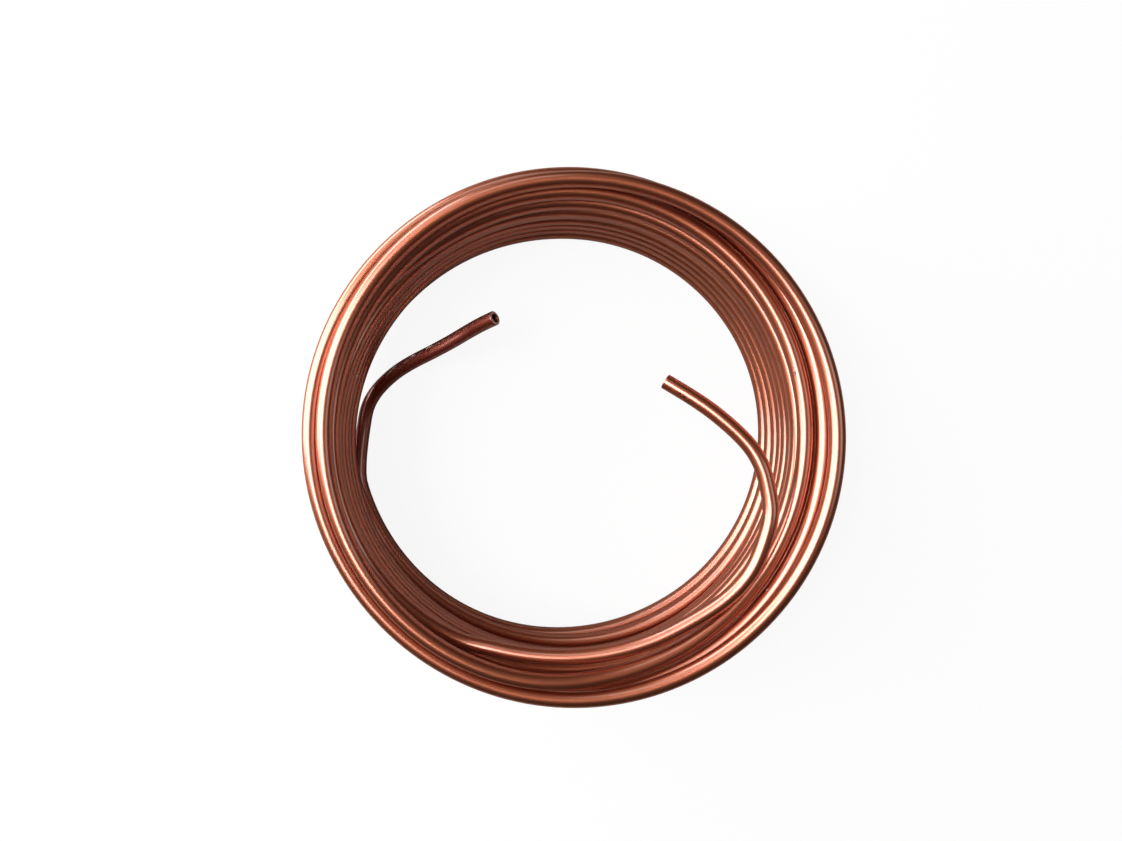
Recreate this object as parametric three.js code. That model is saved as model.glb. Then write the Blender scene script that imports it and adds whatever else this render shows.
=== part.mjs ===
// Loose coil of soft copper tube, lying flat on its lowest turn.
// Millimetres, +Z up. The origin is under the middle of the coil's outline, at the level that its
// lowest turn rests on.
import * as THREE from 'three';

// ---- the tube ----
const tubeOutside = 4.76;            // 3/16 in tube
const tubeWall = 0.9;
const outsideSides = 8;              // the tube's outside as a polygon, this size across its flats
const boreSides = 6;

// ---- the coil ----
const coilRadius = 72.5;             // axis of the coil to the tube's centre line
const turnGap = 0.3;                 // clear space between neighbouring turns
const stepsPerTurn = 28;
const windingStart = 15 / stepsPerTurn;        // in turns, counted from the +X direction
const looseStart = 7 + 10 / stepsPerTurn;      // the neat stack ends and the loose turns begin
const windingEnd = 11 + 26 / stepsPerTurn;
const stepUpStart = 10 / stepsPerTurn;         // where each neat turn climbs onto the one below it
const stepUpLength = 5 / stepsPerTurn;

// ---- the free ends ----
// How far each free end reaches in across the eye of the coil, and its bends as shares of that
// reach: onward from where it leaves the turns, inward, and up.
const lowerTailReach = 61.3;
const lowerTailBends = [
  [0.118, 0.021, 0.00], [0.213, 0.051, 0.00], [0.318, 0.090, 0.00], [0.420, 0.138, 0.01],
  [0.488, 0.206, 0.04], [0.539, 0.289, 0.07], [0.579, 0.387, 0.11], [0.605, 0.490, 0.15],
  [0.626, 0.610, 0.20], [0.652, 0.731, 0.24], [0.677, 0.833, 0.28], [0.692, 0.917, 0.33],
  [0.701, 1.000, 0.38],
];
const upperTailReach = 45.3;
const upperTailBends = [
  [0.132, 0.039, 0.00], [0.242, 0.108, -0.01], [0.360, 0.205, -0.02], [0.439, 0.308, -0.04],
  [0.488, 0.415, -0.06], [0.525, 0.526, -0.08], [0.559, 0.654, -0.105], [0.585, 0.801, -0.135],
  [0.610, 1.000, -0.18],
];

// ---- how the turns lie, as someone wound them ----
// The neat turns: how far along the winding, in turns, and how far outside the coil radius, in
// pitches. Each climbs onto the one below it where the last one did.
const neatTurns = [
  [windingStart, 0.98], [0.625, 0.50], [0.833, -0.73],
  [1.25, -0.01], [1.417, 1.05], [1.50, 1.27], [1.575, 0.70], [1.75, -0.13],
  [2.00, -0.64], [2.50, 0.85], [2.75, 0.43],
  [3.00, -0.50], [3.50, 0.79],
  [4.00, -0.44], [4.50, 0.66],
  [5.00, -0.48], [5.25, 0.19], [5.50, 0.58],
  [6.00, -0.47], [6.50, 0.46],
  [7.00, -0.57], [7.25, 0.16], [looseStart, 0.32],
];
// The loose turns on top of them: a third number is how high above the lowest turn, in pitches.
const looseTurns = [
  [7.42, 0.94, 6.19], [7.50, 1.57, 6.10], [7.75, 0.94, 5.92], [7.83, 0.71, 6.02],
  [8.00, 0.44, 6.41], [8.10, 0.84, 6.00], [8.333, 1.49, 6.26], [8.42, 1.43, 7.14],
  [8.75, 1.04, 6.92], [8.83, 0.79, 7.06],
  [9.00, 0.48, 7.42], [9.10, 0.90, 7.11], [9.25, 1.44, 6.98], [9.42, 1.16, 8.17],
  [9.62, 0.92, 8.22], [9.83, 0.92, 8.07], [10.00, 0.82, 8.50], [10.10, 0.95, 8.12],
  [10.25, 0.69, 8.44], [10.333, 0.57, 8.63], [10.50, 0.08, 8.76], [10.72, -0.11, 8.52],
  [10.78, -0.30, 7.95], [10.90, -0.49, 7.15],
  [11.00, -0.60, 7.29], [11.167, 0.15, 7.06], [11.25, 0.30, 7.44], [11.42, 0.20, 7.47],
  [11.667, -0.42, 7.09], [11.694, -0.91, 7.21], [11.83, -1.57, 7.82], [11.893, -1.43, 8.17],
  [windingEnd, -1.92, 8.30],
];

const pitch = tubeOutside + turnGap;

// How high a neat turn lies above the lowest one, in pitches.
function neatRise(turn) {
  const row = Math.floor(turn - stepUpStart);
  return row - 1 + THREE.MathUtils.smoothstep(turn - stepUpStart - row, 0, stepUpLength);
}

const stations = [...neatTurns.map(([turn, out]) => [turn, out, neatRise(turn)]), ...looseTurns];
const winding = new THREE.CubicInterpolant(
  stations.map(([turn]) => turn), stations.flatMap(([, out, up]) => [out, up]), 2);

function windingPoint(turn) {
  const [out, up] = winding.evaluate(turn);
  const level = turn < looseStart ? neatRise(turn) : up;
  const radius = coilRadius + out * pitch;
  const angle = turn * 2 * Math.PI;
  return new THREE.Vector3(
    radius * Math.cos(angle), radius * Math.sin(angle), tubeOutside / 2 + level * pitch);
}

// A free end: its bends, set out from the point of the winding that it leaves.
function tailPoints(turn, forward, reach, bends) {
  const start = windingPoint(turn);
  const inward = new THREE.Vector3(-start.x, -start.y, 0).normalize();
  const onward = new THREE.Vector3(inward.y, -inward.x, 0).multiplyScalar(forward);
  return bends.map(([along, across, up]) => start.clone()
    .addScaledVector(onward, along * reach)
    .addScaledVector(inward, across * reach)
    .add(new THREE.Vector3(0, 0, up * reach)));
}

// The tube's centre line, with one cross-section at each of its points, so that the flats of
// neighbouring turns lie beside each other. The section is kept upright all the way.
class TubePath extends THREE.CatmullRomCurve3 {
  getUtoTmapping(u) {
    return u;
  }

  computeFrenetFrames(segments) {
    const tangents = [];
    const normals = [];
    const binormals = [];
    const vertical = new THREE.Vector3(0, 0, 1);
    for (let i = 0; i <= segments; i += 1) {
      const tangent = this.getTangent(i / segments);
      const normal = tangent.clone().cross(vertical).normalize();
      tangents.push(tangent);
      normals.push(normal);
      binormals.push(tangent.clone().cross(normal));
    }
    return { tangents, normals, binormals };
  }
}

function polygon(acrossFlats, sides) {
  const radius = acrossFlats / 2 / Math.cos(Math.PI / sides);
  return Array.from({ length: sides }, (_, i) => {
    const angle = (i + 0.5) / sides * 2 * Math.PI;
    return new THREE.Vector2(radius * Math.cos(angle), radius * Math.sin(angle));
  });
}

function centreLine() {
  const steps = Math.round((windingEnd - windingStart) * stepsPerTurn);
  const turns = Array.from({ length: steps + 1 },
    (_, i) => windingPoint(windingStart + i / stepsPerTurn));
  return new TubePath([
    ...tailPoints(windingStart, -1, lowerTailReach, lowerTailBends).reverse(),
    ...turns,
    ...tailPoints(windingEnd, 1, upperTailReach, upperTailBends),
  ]);
}

function copperTube() {
  const path = centreLine();
  const section = new THREE.Shape(polygon(tubeOutside, outsideSides));
  section.holes.push(new THREE.Path(polygon(tubeOutside - 2 * tubeWall, boreSides)));
  const geometry = new THREE.ExtrudeGeometry(section, {
    extrudePath: path,
    steps: path.points.length - 1,
    bevelEnabled: false,
  });
  geometry.computeBoundingBox();
  const middle = geometry.boundingBox.getCenter(new THREE.Vector3());
  geometry.translate(-middle.x, -middle.y, -geometry.boundingBox.min.z);
  const copper = new THREE.MeshStandardMaterial({ color: 0xb8613c, roughness: 0.3, metalness: 1 });
  const mesh = new THREE.Mesh(geometry, copper);
  mesh.name = 'copper_tube';
  return mesh;
}

const group = new THREE.Group();
group.add(copperTube());

export default group;
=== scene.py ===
import math

import bpy
import numpy as np
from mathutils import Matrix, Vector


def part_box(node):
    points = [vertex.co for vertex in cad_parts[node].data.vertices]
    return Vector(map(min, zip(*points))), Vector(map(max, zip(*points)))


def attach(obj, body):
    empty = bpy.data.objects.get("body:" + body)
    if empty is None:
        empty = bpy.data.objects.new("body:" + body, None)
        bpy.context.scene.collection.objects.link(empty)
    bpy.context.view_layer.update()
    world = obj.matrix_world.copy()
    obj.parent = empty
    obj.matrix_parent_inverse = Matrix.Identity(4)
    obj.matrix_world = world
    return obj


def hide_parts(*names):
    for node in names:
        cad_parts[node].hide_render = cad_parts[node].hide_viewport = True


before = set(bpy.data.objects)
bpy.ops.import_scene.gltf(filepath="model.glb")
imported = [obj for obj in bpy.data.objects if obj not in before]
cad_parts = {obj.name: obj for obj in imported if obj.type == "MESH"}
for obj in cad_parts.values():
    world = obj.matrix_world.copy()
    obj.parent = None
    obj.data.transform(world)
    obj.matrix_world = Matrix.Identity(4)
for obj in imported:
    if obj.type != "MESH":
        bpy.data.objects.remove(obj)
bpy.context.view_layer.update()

MM = 0.001

# ---------------------------------------------------------------- the coil's path
# The same winding and free ends as the CAD part, in millimetres until the mesh is made.

TUBE_OUTSIDE = 4.76
TUBE_WALL = 0.9
COIL_RADIUS = 72.5
TURN_GAP = 0.3
PITCH = TUBE_OUTSIDE + TURN_GAP
STEPS_PER_TURN = 28
WINDING_START = 15 / STEPS_PER_TURN
LOOSE_START = 7 + 10 / STEPS_PER_TURN
WINDING_END = 11 + 26 / STEPS_PER_TURN
STEP_UP_START = 10 / STEPS_PER_TURN
STEP_UP_LENGTH = 5 / STEPS_PER_TURN

# How far each free end reaches in across the eye of the coil, and its bends as shares of that
# reach: onward from where it leaves the turns, inward, and up.
LOWER_TAIL_REACH = 61.3
LOWER_TAIL_BENDS = [
    [0.118, 0.021, 0.00], [0.213, 0.051, 0.00], [0.318, 0.090, 0.00], [0.420, 0.138, 0.01],
    [0.488, 0.206, 0.04], [0.539, 0.289, 0.07], [0.579, 0.387, 0.11], [0.605, 0.490, 0.15],
    [0.626, 0.610, 0.20], [0.652, 0.731, 0.24], [0.677, 0.833, 0.28], [0.692, 0.917, 0.33],
    [0.701, 1.000, 0.38],
]
UPPER_TAIL_REACH = 45.3
UPPER_TAIL_BENDS = [
    [0.132, 0.039, 0.00], [0.242, 0.108, -0.01], [0.360, 0.205, -0.02], [0.439, 0.308, -0.04],
    [0.488, 0.415, -0.06], [0.525, 0.526, -0.08], [0.559, 0.654, -0.105], [0.585, 0.801, -0.135],
    [0.610, 1.000, -0.18],
]
# The neat turns: how far along the winding, in turns, and how far outside the coil radius, in
# pitches. The loose turns on top of them: also how high above the lowest turn, in pitches.
NEAT_TURNS = [
    [WINDING_START, 0.98], [0.625, 0.50], [0.833, -0.73],
    [1.25, -0.01], [1.417, 1.05], [1.50, 1.27], [1.575, 0.70], [1.75, -0.13],
    [2.00, -0.64], [2.50, 0.85], [2.75, 0.43],
    [3.00, -0.50], [3.50, 0.79],
    [4.00, -0.44], [4.50, 0.66],
    [5.00, -0.48], [5.25, 0.19], [5.50, 0.58],
    [6.00, -0.47], [6.50, 0.46],
    [7.00, -0.57], [7.25, 0.16], [LOOSE_START, 0.32],
]
LOOSE_TURNS = [
    [7.42, 0.94, 6.19], [7.50, 1.57, 6.10], [7.75, 0.94, 5.92], [7.83, 0.71, 6.02],
    [8.00, 0.44, 6.41], [8.10, 0.84, 6.00], [8.333, 1.49, 6.26], [8.42, 1.43, 7.14],
    [8.75, 1.04, 6.92], [8.83, 0.79, 7.06],
    [9.00, 0.48, 7.42], [9.10, 0.90, 7.11], [9.25, 1.44, 6.98], [9.42, 1.16, 8.17],
    [9.62, 0.92, 8.22], [9.83, 0.92, 8.07], [10.00, 0.82, 8.50], [10.10, 0.95, 8.12],
    [10.25, 0.69, 8.44], [10.333, 0.57, 8.63], [10.50, 0.08, 8.76], [10.72, -0.11, 8.52],
    [10.78, -0.30, 7.95], [10.90, -0.49, 7.15],
    [11.00, -0.60, 7.29], [11.167, 0.15, 7.06], [11.25, 0.30, 7.44], [11.42, 0.20, 7.47],
    [11.667, -0.42, 7.09], [11.694, -0.91, 7.21], [11.83, -1.57, 7.82], [11.893, -1.43, 8.17],
    [WINDING_END, -1.92, 8.30],
]

# How many points the turns have, how many each stretch between two bends of a free end has, and how
# many points of the turns a free end's curve starts from.
WINDING_SAMPLES = 8000
SAMPLES_PER_BEND = 12
LEAD_POINTS = 3
# The sampling step and the spread of the filter that eases the centre line's corners.
EASING_STEP = 0.25
EASING_SPREAD = 1.2


def neat_rise(turn):
    """How high a neat turn lies above the lowest one, in pitches."""
    row = np.floor(turn - STEP_UP_START)
    climb = np.clip((turn - STEP_UP_START - row) / STEP_UP_LENGTH, 0, 1)
    return row - 1 + climb * climb * (3 - 2 * climb)


def cubic_through(stations, turn):
    """A smooth curve through the stations, whose first column is the turn."""
    at, values = stations[:, 0], stations[:, 1:]
    last = len(at) - 1
    i1 = np.clip(np.searchsorted(at, turn, side="right"), 1, last)
    i0 = i1 - 1
    before = np.where(i0 > 0, i0 - 1, i1)
    after = np.where(i1 < last, i1 + 1, i0)
    half = (at[i1] - at[i0]) / 2
    w_before = half / (at[i0] - at[before])
    w_after = half / (at[after] - at[i1])
    p = (turn - at[i0]) / (at[i1] - at[i0])
    p2, p3 = p * p, p * p * p
    share_before = -w_before * p3 + 2 * w_before * p2 - w_before * p
    share_0 = (1 + w_before) * p3 - (1.5 + 2 * w_before) * p2 + (w_before - 0.5) * p + 1
    share_1 = -(1 + w_after) * p3 + (1.5 + w_after) * p2 + 0.5 * p
    share_after = w_after * p3 - w_after * p2
    return (share_before[:, None] * values[before] + share_0[:, None] * values[i0]
            + share_1[:, None] * values[i1] + share_after[:, None] * values[after])


def winding_points(turn):
    """Points of the winding's centre line, at the given numbers of turns along it."""
    stations = np.array([[t, out, neat_rise(t)] for t, out in NEAT_TURNS] + LOOSE_TURNS)
    out, up = cubic_through(stations, turn).T
    level = np.where(turn < LOOSE_START, neat_rise(turn), up)
    radius = COIL_RADIUS + out * PITCH
    angle = turn * 2 * math.pi
    return np.stack([radius * np.cos(angle), radius * np.sin(angle),
                     TUBE_OUTSIDE / 2 + level * PITCH], axis=1)


def tail_points(turn, forward, reach, bends):
    """Points of a free end's centre line. It goes on from the winding forward (1) or back (-1)."""
    start = winding_points(np.array([turn]))[0]
    inward = np.array([-start[0], -start[1], 0.0])
    inward /= np.linalg.norm(inward)
    onward = np.array([inward[1], -inward[0], 0.0]) * forward
    up = np.array([0.0, 0.0, 1.0])
    return np.array([start + reach * (a * onward + b * inward + c * up) for a, b, c in bends])


def spline_through(points, per_span):
    """Centripetal Catmull-Rom spline through the points."""
    ends = np.vstack([2 * points[0] - points[1], points, 2 * points[-1] - points[-2]])
    out = []
    for k in range(1, len(ends) - 2):
        p0, p1, p2, p3 = ends[k - 1:k + 3]
        d0, d1, d2 = (np.linalg.norm(b - a) ** 0.5 for a, b in ((p0, p1), (p1, p2), (p2, p3)))
        m1 = ((p1 - p0) / d0 - (p2 - p0) / (d0 + d1) + (p2 - p1) / d1) * d1
        m2 = ((p2 - p1) / d1 - (p3 - p1) / (d1 + d2) + (p3 - p2) / d2) * d1
        t = (np.arange(per_span) / per_span)[:, None]
        out.append(p1 + m1 * t + (-3 * p1 + 3 * p2 - 2 * m1 - m2) * t ** 2
                   + (2 * p1 - 2 * p2 + m1 + m2) * t ** 3)
    return np.vstack(out + [points[-1:]])


def centre_line():
    """The whole tube's centre line, from the lower cut end to the upper one."""
    winding = winding_points(np.linspace(WINDING_START, WINDING_END, WINDING_SAMPLES))
    lower = tail_points(WINDING_START, -1, LOWER_TAIL_REACH, LOWER_TAIL_BENDS)[::-1]
    upper = tail_points(WINDING_END, 1, UPPER_TAIL_REACH, UPPER_TAIL_BENDS)
    lead = 1 / STEPS_PER_TURN * np.arange(LEAD_POINTS)
    first = winding_points(WINDING_START + lead)
    final = winding_points(WINDING_END - lead[::-1])
    # the winding itself has the stretch that a free end's curve shares with it
    shared = (LEAD_POINTS - 1) * SAMPLES_PER_BEND + 1
    lower = spline_through(np.vstack([lower, first]), SAMPLES_PER_BEND)[:-shared]
    upper = spline_through(np.vstack([final, upper]), SAMPLES_PER_BEND)[shared:]
    return np.vstack([lower, winding, upper])


def along(points):
    """How far along the line each of its points lies."""
    return np.concatenate([[0], np.cumsum(np.linalg.norm(np.diff(points, axis=0), axis=1))])


def resampled(points, marks):
    """The points that lie at the given distances along the line."""
    distance = along(points)
    return np.stack([np.interp(marks, distance, points[:, k]) for k in range(3)], axis=1)


def eased(points):
    """The line with its corners eased and its two ends kept."""
    length = along(points)[-1]
    line = resampled(points, np.linspace(0, length, int(length / EASING_STEP) + 1))
    half = int(3 * EASING_SPREAD / EASING_STEP)
    kernel = np.exp(-0.5 * (np.arange(-half, half + 1) * EASING_STEP / EASING_SPREAD) ** 2)
    kernel /= kernel.sum()
    head = 2 * line[0] - line[1:half + 1][::-1]
    tail = 2 * line[-1] - line[-half - 1:-1][::-1]
    padded = np.vstack([head, line, tail])
    return np.stack([np.convolve(padded[:, k], kernel, "valid") for k in range(3)], axis=1)


# ---------------------------------------------------------------- the tube's mesh

SIDES = 28
WINDING_RING_STEP = 2.8
TAIL_RING_STEP = 1.3
TAIL_LENGTH = 85
# The bore has one ring for this many of the outside.
BORE_RING_EVERY = 3
# A cut end: the radius of its outer edge and the angles of the rings on it, how far the next ring
# lies beyond it, and the bevel of its inner edge.
EDGE_ROUNDING = 0.28
EDGE_ANGLES = [90, 72, 54, 36, 18, 0]
EDGE_SUPPORT = 0.25
BORE_LIP = 0.1
# How far ahead and behind the tube's direction is taken.
AIM_REACH = 0.4
# The mesh's materials, in their order.
OUTSIDE, BORE, CUT = range(3)


def ring_marks(length):
    """Where the rings of vertices lie: closer together on the bent free ends."""
    tail = np.arange(0, TAIL_LENGTH, TAIL_RING_STEP)
    middle = np.arange(TAIL_LENGTH, length - TAIL_LENGTH, WINDING_RING_STEP)
    return np.concatenate([tail, middle, length - tail[::-1]])


def ring_rows(length):
    """Each ring's distance along the tube and its radius, and the material of the faces that follow
    it. The rings go over the outside to the upper cut end and come back through the bore."""
    marks = ring_marks(length)
    outer = TUBE_OUTSIDE / 2
    bore = outer - TUBE_WALL
    edge = [(EDGE_ROUNDING * (1 - math.sin(a)), outer - EDGE_ROUNDING * (1 - math.cos(a)))
            for a in np.radians(EDGE_ANGLES)] + [(EDGE_ROUNDING + EDGE_SUPPORT, outer)]
    outside = (edge + [(mark, outer) for mark in marks[1:-1]]
               + [(length - mark, radius) for mark, radius in edge[::-1]])
    bore_marks = marks[::-1][BORE_RING_EVERY:-BORE_RING_EVERY:BORE_RING_EVERY]
    inside = ([(length, bore + BORE_LIP), (length - BORE_LIP, bore)]
              + [(mark, bore) for mark in bore_marks] + [(BORE_LIP, bore), (0.0, bore + BORE_LIP)])
    finish = [OUTSIDE] * len(outside) + [BORE] * len(inside)
    upper_face = len(outside) - 1
    # the flat face of each cut end and the first two strips of its rounded edge
    for row in (-1, 0, 1, upper_face - 2, upper_face - 1, upper_face):
        finish[row] = CUT
    return np.array(outside + inside), np.array(finish)


def build_tube(line):
    """Vertices, faces, each face's material, and each vertex's place on the tube: how far along it,
    and across and up from its centre line."""
    length = along(line)[-1]
    rows, finish = ring_rows(length)
    at, radius = rows.T
    centre = resampled(line, at)
    ahead = (resampled(line, np.minimum(at + AIM_REACH, length))
             - resampled(line, np.maximum(at - AIM_REACH, 0)))
    ahead /= np.linalg.norm(ahead, axis=1, keepdims=True)
    side = np.cross(ahead, [0.0, 0.0, 1.0])
    side /= np.linalg.norm(side, axis=1, keepdims=True)
    other = np.cross(side, ahead)
    turn = 2 * math.pi * np.arange(SIDES) / SIDES
    ring = (np.cos(turn)[None, :, None] * side[:, None, :]
            + np.sin(turn)[None, :, None] * other[:, None, :])
    points = centre[:, None, :] + radius[:, None, None] * ring
    count = len(rows)
    i = np.arange(count)[:, None] * SIDES
    i_next = (np.arange(count)[:, None] + 1) % count * SIDES
    j = np.arange(SIDES)[None, :]
    j_next = (j + 1) % SIDES
    quads = np.stack(np.broadcast_arrays(i + j, i_next + j, i_next + j_next, i + j_next), axis=-1)
    outer = TUBE_OUTSIDE / 2
    place = np.stack(np.broadcast_arrays(at[:, None], outer * np.cos(turn), outer * np.sin(turn)),
                     axis=-1)
    return (points.reshape(-1, 3), quads.reshape(-1, 4), np.repeat(finish, SIDES),
            place.reshape(-1, 3))


def placed(points):
    """Centred over the CAD tube's box and lying on the floor, in metres."""
    low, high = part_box("copper_tube")
    middle = (points.min(0) + points.max(0)) / 2
    target = np.array([(low.x + high.x) / 2, (low.y + high.y) / 2, 0.0])
    moved = points * MM + (target - np.array([middle[0], middle[1], 0]) * MM)
    moved[:, 2] = np.clip(moved[:, 2], low.z, high.z)
    return moved


points, quads, finish, place = build_tube(eased(centre_line()))
mesh = bpy.data.meshes.new("tube_surface")
mesh.from_pydata(placed(points).tolist(), [], quads.tolist())
mesh.polygons.foreach_set("use_smooth", [True] * len(quads))
mesh.polygons.foreach_set("material_index", finish.tolist())
coordinate = mesh.attributes.new("along_and_round", "FLOAT_VECTOR", "POINT")
coordinate.data.foreach_set("vector", (place * MM).astype(np.float32).reshape(-1))
mesh.update()
tube = bpy.data.objects.new("copper_tube_looks", mesh)
bpy.context.scene.collection.objects.link(tube)


# ---------------------------------------------------------------- materials

# The Mix node has sockets of one name for numbers and for colours. These are the ones for colours.
MIX_FIRST, MIX_SECOND, MIX_RESULT = 6, 7, 2
# The noise on the edges of small marks: its grains per metre, and its strength.
RAGGED_GRAINS = (1800.0, 1800.0, 1800.0)
RAGGEDNESS = 0.9


class Nodes:
    """A short way to write the node tree of a material or a world."""

    def __init__(self, owner):
        owner.use_nodes = True
        self.tree = owner.node_tree

    def add(self, kind, inputs=None, **settings):
        node = self.tree.nodes.new(kind)
        for key, value in settings.items():
            setattr(node, key, value)
        self.fill(node, inputs or {})
        return node

    def fill(self, node, inputs):
        """Sets or links a node's inputs."""
        for key, value in inputs.items():
            if isinstance(value, bpy.types.NodeSocket):
                self.tree.links.new(value, node.inputs[key])
            else:
                node.inputs[key].default_value = value

    def math(self, operation, a, b, clamp=False):
        node = self.add("ShaderNodeMath", {0: a, 1: b}, operation=operation, use_clamp=clamp)
        return node.outputs[0]

    def vector(self, operation, a, b=(0.0, 0.0, 0.0)):
        return self.add("ShaderNodeVectorMath", {0: a, 1: b}, operation=operation)

    def length(self, vector):
        return self.vector("LENGTH", vector).outputs["Value"]

    def mix(self, factor, first, second):
        node = self.add("ShaderNodeMix", data_type="RGBA")
        self.fill(node, {"Factor": factor, MIX_FIRST: first, MIX_SECOND: second})
        return node.outputs[MIX_RESULT]

    def mix_shaders(self, factor, first, second):
        return self.add("ShaderNodeMixShader", {0: factor, 1: first, 2: second}).outputs[0]

    def between(self, value, low, high, to_low=0.0, to_high=1.0):
        """The value's place from low to high, as a number from to_low to to_high."""
        node = self.add("ShaderNodeMapRange", {"Value": value, "From Min": low, "From Max": high,
                                               "To Min": to_low, "To Max": to_high}, clamp=True)
        return node.outputs["Result"]

    def noise(self, place, per_metre, detail, roughness):
        """Noise with the given number of grains per metre in each direction."""
        spread = self.add("ShaderNodeMapping", {"Vector": place, "Scale": per_metre},
                          vector_type="POINT")
        node = self.add("ShaderNodeTexNoise", {"Vector": spread.outputs["Vector"], "Scale": 1.0,
                                               "Detail": detail, "Roughness": roughness})
        return node.outputs["Fac"]

    def tube_place(self):
        """How far along the tube the surface lies, and across and up from its centre line."""
        node = self.add("ShaderNodeAttribute", attribute_name="along_and_round")
        return node.outputs["Vector"]

    def spots(self, place, marks):
        """One inside the given marks on the tube and nothing outside them, with ragged edges."""
        ragged = self.math("MULTIPLY", self.noise(place, RAGGED_GRAINS, 1.0, 0.5), RAGGEDNESS)
        found = 0.0
        for mark, angle, half_length, half_width in marks:
            around = math.radians(angle)
            centre = (mark * MM, TUBE_OUTSIDE / 2 * math.cos(around) * MM,
                      TUBE_OUTSIDE / 2 * math.sin(around) * MM)
            size = (half_length * MM, half_width * MM, half_width * MM)
            away = self.vector("SUBTRACT", place, centre).outputs["Vector"]
            away = self.length(self.vector("DIVIDE", away, size).outputs["Vector"])
            inside = self.between(self.math("ADD", away, ragged), 1.0, 1.5, 1.0, 0.0)
            found = self.math("MAXIMUM", inside, found)
        return found


# Small marks on the tube: how far along it from the lower cut end and at which angle round it, then
# half the mark's length and half its width, in degrees and millimetres.
# Scuffs: small rubbed spots and kinks, each with a slight bump and a painted glint, a near-white
# colour that stands in for its highlight.
PAINTED_GLINT_SCUFFS = [
    [52.0, 22, 1.3, 0.45], [42.0, 48, 1.5, 0.45], [33.5, 50, 1.3, 0.40], [26.5, 46, 1.8, 0.35],
    [60.5, 16, 1.2, 0.35], [1887.8, 148, 0.7, 0.35], [4985.4, 116, 0.35, 0.25],
    [4986.9, 134, 0.4, 0.22], [4988.4, 126, 0.4, 0.20], [3965.6, 150, 0.4, 0.25],
]
# Nicks: small dents whose shade is painted in as a nearly black colour.
SHADED_NICKS = [
    [5431.0, 126, 1.3, 0.55], [5429.2, 152, 1.6, 0.50], [5432.6, 118, 0.6, 0.40],
    [4986.0, 124, 1.1, 0.35], [3964.8, 160, 0.6, 0.35],
]

BRIGHT = (0.56, 0.147, 0.061, 1.0)
TARNISHED = (0.45, 0.105, 0.040, 1.0)
# painted shade: a dark maroon for the lower free end where it lies deep in the eye of the coil
LOWER_END_PAINTED_SHADE = (0.27, 0.045, 0.032, 1.0)
LINED = (0.42, 0.12, 0.06, 1.0)
PITTED = (0.20, 0.07, 0.04, 1.0)
# painted shade: the nearly black colour in the nicks
PAINTED_NICK_SHADE = (0.10, 0.025, 0.02, 1.0)
# painted glint: the near-white colour of the scuffs
PAINTED_GLINT = (1.0, 0.84, 0.74, 1.0)
# painted shade: the dark colours inside the bore, mixed in grimy patches
BORE_SHADE_LIGHTER = (0.20, 0.07, 0.045, 1.0)
BORE_SHADE_DARKER = (0.10, 0.035, 0.025, 1.0)
CUT_LIGHT = (1.0, 0.84, 0.77, 1.0)
CUT_DARK = (0.90, 0.64, 0.54, 1.0)

# The noise at which bare copper starts to tarnish and at which it is all tarnished, and the shares
# of the patches and of the wider cloud in that noise.
TARNISH_FROM, TARNISH_TO = 0.40, 0.62
PATCH_SHARE, CLOUD_SHARE = 0.6, 0.4
# Painted shade: the lower free end, deep in the eye of the coil, is painted a dark maroon up to the
# first mark, and this painted shade is gone by the second.
LOWER_END_SHADE_TO, LOWER_END_SHADE_GONE = 75 * MM, 115 * MM
# How strongly each colour covers the ones below it.
LOWER_END_SHADE_SHARE, LINED_SHARE, PITTED_SHARE = 0.8, 0.15, 0.5
# The metal's roughness, and what is added to it where the lower free end has its painted shade,
# where it is pitted, and at the scuffs with painted glints and the nicks with painted shade.
ROUGH_BRIGHT, ROUGH_TARNISHED = 0.35, 0.42
ROUGHER_LOWER_END, ROUGHER_PITTED, ROUGHER_MARKED = 0.2, 0.2, 0.4
# How deep the dents are in metres, and the drawing lines and the scuffs with painted glints as
# shares of that.
DENT_DEPTH = 0.00006
LINE_HEIGHT, GLINT_SCUFF_HEIGHT = 0.02, 3.0


def metal(name, build):
    """A metal with the shader inputs that `build` makes from the place on the tube."""
    material = bpy.data.materials.new(name)
    n = Nodes(material)
    inputs = {"Metallic": 1.0, **build(n, n.tube_place())}
    n.fill(n.tree.nodes["Principled BSDF"], inputs)
    return material


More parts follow.
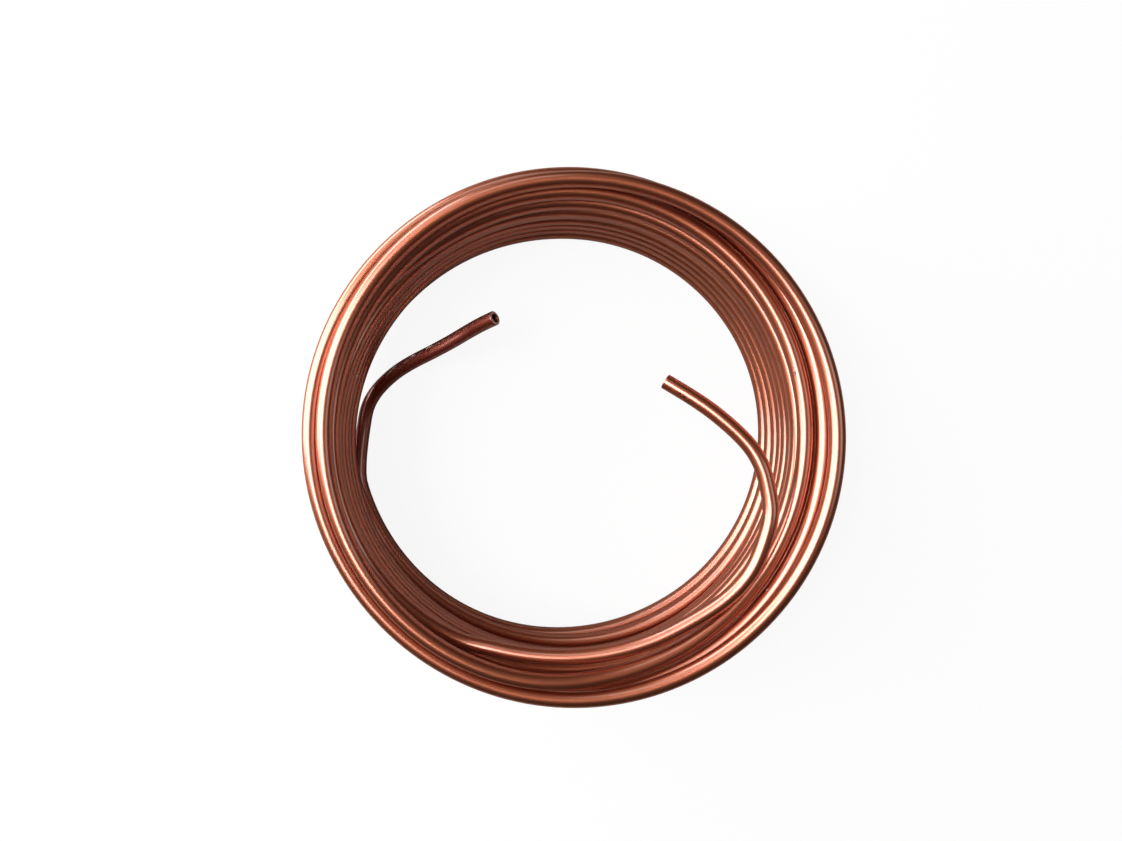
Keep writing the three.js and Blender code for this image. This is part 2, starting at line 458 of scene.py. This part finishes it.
def copper_outside(n, place):
    """Drawn copper, tarnished in patches, with slight dents and pits, painted shade on the lower
    free end and in the nicks, and painted glints on the scuffs.
    """
    # patches of tarnish, longer along the tube than round it
    patches = n.math("MULTIPLY", n.noise(place, (30.0, 140.0, 140.0), 4.0, 0.6), PATCH_SHARE)
    cloud = n.math("MULTIPLY", n.noise(place, (8.0, 60.0, 60.0), 2.0, 0.5), CLOUD_SHARE)
    tarnish = n.between(n.math("ADD", patches, cloud), TARNISH_FROM, TARNISH_TO)
    # drawing lines, which run along the tube, and the slight dents and flats of a hand-wound coil
    lines = n.noise(place, (8.0, 450.0, 450.0), 1.0, 0.4)
    flats = n.noise(place, (60.0, 90.0, 90.0), 0.0, 0.4)
    pits = n.between(n.noise(place, (220.0, 420.0, 420.0), 1.0, 0.5), 0.20, 0.30, 1.0, 0.0)
    # painted glints at the scuffs
    painted_glint_scuffed = n.spots(place, PAINTED_GLINT_SCUFFS)
    # painted shade in the nicks
    painted_nick_shade = n.spots(place, SHADED_NICKS)
    distance = n.add("ShaderNodeSeparateXYZ", {"Vector": place}).outputs["X"]
    # painted shade on the lower free end, full up to the first mark and gone by the second
    lower_end_painted_shade = n.between(distance, LOWER_END_SHADE_TO, LOWER_END_SHADE_GONE, LOWER_END_SHADE_SHARE, 0.0)

    colour = n.mix(tarnish, BRIGHT, TARNISHED)
    # the painted shade of the lower free end
    colour = n.mix(lower_end_painted_shade, colour, LOWER_END_PAINTED_SHADE)
    lined = n.math("MULTIPLY", n.between(lines, 0.35, 0.65), LINED_SHARE)
    colour = n.mix(lined, colour, LINED)
    colour = n.mix(n.math("MULTIPLY", pits, PITTED_SHARE), colour, PITTED)
    # the painted shade in the nicks
    colour = n.mix(painted_nick_shade, colour, PAINTED_NICK_SHADE)
    # the painted glints at the scuffs
    colour = n.mix(painted_glint_scuffed, colour, PAINTED_GLINT)

    rough = n.between(tarnish, 0.0, 1.0, ROUGH_BRIGHT, ROUGH_TARNISHED)
    rough = n.math("ADD", rough, n.math("MULTIPLY", lower_end_painted_shade, ROUGHER_LOWER_END))
    rough = n.math("ADD", rough, n.math("MULTIPLY", pits, ROUGHER_PITTED))
    marked = n.math("MULTIPLY", n.math("MAXIMUM", painted_glint_scuffed, painted_nick_shade), ROUGHER_MARKED)
    rough = n.math("ADD", rough, marked, clamp=True)

    height = n.math("ADD", flats, n.math("MULTIPLY", lines, LINE_HEIGHT))
    height = n.math("ADD", height, n.math("MULTIPLY", painted_glint_scuffed, GLINT_SCUFF_HEIGHT))
    bump = n.add("ShaderNodeBump", {"Height": height, "Strength": 1.0, "Distance": DENT_DEPTH})
    # the coat is a thin clear film of oil and oxide, which whitens the brightest reflections
    return {"Base Color": colour, "Roughness": rough, "Normal": bump.outputs["Normal"],
            "Coat Weight": 0.37, "Coat Roughness": 0.20, "Coat IOR": 3.5}


def copper_bore(n, place):
    """Copper painted dark as the shade inside the bore, lighter and darker in grimy patches."""
    grime = n.noise(place, (120.0, 500.0, 500.0), 3.0, 0.6)
    return {"Base Color": n.mix(n.between(grime, 0.35, 0.65), BORE_SHADE_LIGHTER, BORE_SHADE_DARKER),
            "Roughness": n.between(grime, 0.3, 0.7, 0.4, 0.6)}


def copper_cut(n, place):
    """Bare pale metal with saw marks."""
    saw = n.noise(place, (200.0, 1500.0, 1500.0), 3.0, 0.6)
    return {"Base Color": n.mix(n.between(saw, 0.35, 0.65), CUT_LIGHT, CUT_DARK),
            "Roughness": n.between(saw, 0.3, 0.7, 0.45, 0.60)}


mesh.materials.append(metal("copper", copper_outside))
mesh.materials.append(metal("copper_bore", copper_bore))
mesh.materials.append(metal("copper_cut", copper_cut))
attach(tube, "root")
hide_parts("copper_tube")


# ---------------------------------------------------------------- floor, light and camera

# How much of the white background the copper mirrors. Round the real coil it was dark.
WHITE_IN_METAL = 0.03
WHITE = (1.0, 1.0, 1.0, 1.0)
# How much of the floor's white is its own under the coil, so that the rest still shows its shadow.
# Farther off, between these two distances in metres, all of it becomes so, and no horizon shows.
FLOOR_GLOW = 0.91
GLOW_FROM, GLOW_TO = 0.10, 0.45
# The floor as the camera sees it, the floor as it lights the coil from below, and the dim room.
FLOOR_PALE = (0.94, 0.94, 0.94, 1.0)
FLOOR_UNDER_COIL = (0.36, 0.31, 0.27, 1.0)
ROOM = (0.012, 0.005, 0.001, 1.0)
FLOOR_HALF = 3.0


def white_shares(n):
    """How white the surroundings are to the camera itself, 0 or 1, and to a ray off the metal."""
    path = n.add("ShaderNodeLightPath").outputs
    mirrored = n.math("MAXIMUM", path["Is Glossy Ray"], path["Is Transmission Ray"])
    return path["Is Camera Ray"], n.math("MULTIPLY", mirrored, WHITE_IN_METAL)


def pale_floor():
    """White to the camera with the coil's shadow on it, and a plain dull surface to all else."""
    material = bpy.data.materials.new("pale_floor")
    n = Nodes(material)
    in_camera, in_metal = white_shares(n)
    white = n.add("ShaderNodeEmission", {"Color": WHITE, "Strength": 1.0}).outputs[0]
    shaded = n.add("ShaderNodeBsdfDiffuse", {"Color": FLOOR_PALE}).outputs[0]
    dull = n.tree.nodes["Principled BSDF"]
    n.fill(dull, {"Base Color": FLOOR_UNDER_COIL, "Roughness": 0.9, "Specular IOR Level": 0.0})
    away = n.length(n.add("ShaderNodeNewGeometry").outputs["Position"])
    glow = n.between(away, GLOW_FROM, GLOW_TO, FLOOR_GLOW, 1.0)
    unseen = n.mix_shaders(in_metal, dull.outputs[0], white)
    seen = n.mix_shaders(glow, shaded, white)
    n.fill(n.tree.nodes["Material Output"], {"Surface": n.mix_shaders(in_camera, unseen, seen)})
    return material


floor_mesh = bpy.data.meshes.new("floor")
floor_mesh.from_pydata([(-FLOOR_HALF, -FLOOR_HALF, 0), (FLOOR_HALF, -FLOOR_HALF, 0),
                        (FLOOR_HALF, FLOOR_HALF, 0), (-FLOOR_HALF, FLOOR_HALF, 0)],
                       [], [(0, 1, 2, 3)])
floor_mesh.materials.append(pale_floor())
floor = bpy.data.objects.new("floor", floor_mesh)
bpy.context.scene.collection.objects.link(floor)


def dim_studio():
    """A dim warm room that the camera sees as white."""
    world = bpy.data.worlds.new("studio")
    n = Nodes(world)
    in_camera, in_metal = white_shares(n)
    dim = n.tree.nodes["Background"]
    n.fill(dim, {"Color": ROOM})
    white = n.add("ShaderNodeBackground", {"Color": WHITE})
    mixed = n.mix_shaders(n.math("ADD", in_metal, in_camera), dim.outputs[0], white.outputs[0])
    n.fill(n.tree.nodes["World Output"], {"Surface": mixed})
    return world


bpy.context.scene.world = dim_studio()

# Each lamp's compass angle and its height above the floor in degrees, its distance in metres, how
# many degrees wide and high it looks from the coil, and its radiance.
SOFTBOXES = {
    "key": (168, 46, 0.7, 34, 46, 4.8),
    "top_key": (184, 70, 0.75, 26, 24, 6.5),
    "low_key": (150, 16, 0.9, 68, 26, 5.6),
    "back_fill": (112, 47, 0.9, 30, 22, 1.3),
    "right_fill": (5, 50, 0.9, 30, 26, 1.1),
}
# The lamps face a point this many metres above the floor.
FACED_HEIGHT = 0.03


def softbox(name, azimuth, elevation, distance, across, high, radiance):
    """A rectangular area lamp that faces the coil."""
    lamp = bpy.data.lights.new(name, "AREA")
    lamp.shape = "RECTANGLE"
    lamp.size = 2 * distance * math.tan(math.radians(across / 2))
    lamp.size_y = 2 * distance * math.tan(math.radians(high / 2))
    lamp.energy = radiance * math.pi * lamp.size * lamp.size_y
    box = bpy.data.objects.new(name, lamp)
    a, e = math.radians(azimuth), math.radians(elevation)
    box.location = (distance * math.cos(e) * math.cos(a), distance * math.cos(e) * math.sin(a),
                    distance * math.sin(e) + FACED_HEIGHT)
    box.rotation_euler = (math.pi / 2 - e, 0, a + math.pi / 2)
    bpy.context.scene.collection.objects.link(box)


for name, numbers in SOFTBOXES.items():
    softbox(name, *numbers)

# The camera looks straight down, as in the photograph. The photograph's width and the focal length
# are in its pixels, and the sensor's width in millimetres.
PHOTO_WIDTH = 1122
FOCAL_LENGTH = 667.5
SENSOR_WIDTH = 36
CAMERA_AT = (-0.00221, 0.00426, 0.2405)

camera = bpy.data.cameras.new("camera")
camera.sensor_width = SENSOR_WIDTH
camera.lens = SENSOR_WIDTH * FOCAL_LENGTH / PHOTO_WIDTH
camera.clip_start = 0.01
view = bpy.data.objects.new("camera", camera)
view.location = CAMERA_AT
bpy.context.scene.collection.objects.link(view)
bpy.context.scene.camera = view

bpy.context.scene.view_settings.view_transform = "Standard"

bpy.context.view_layer.update()
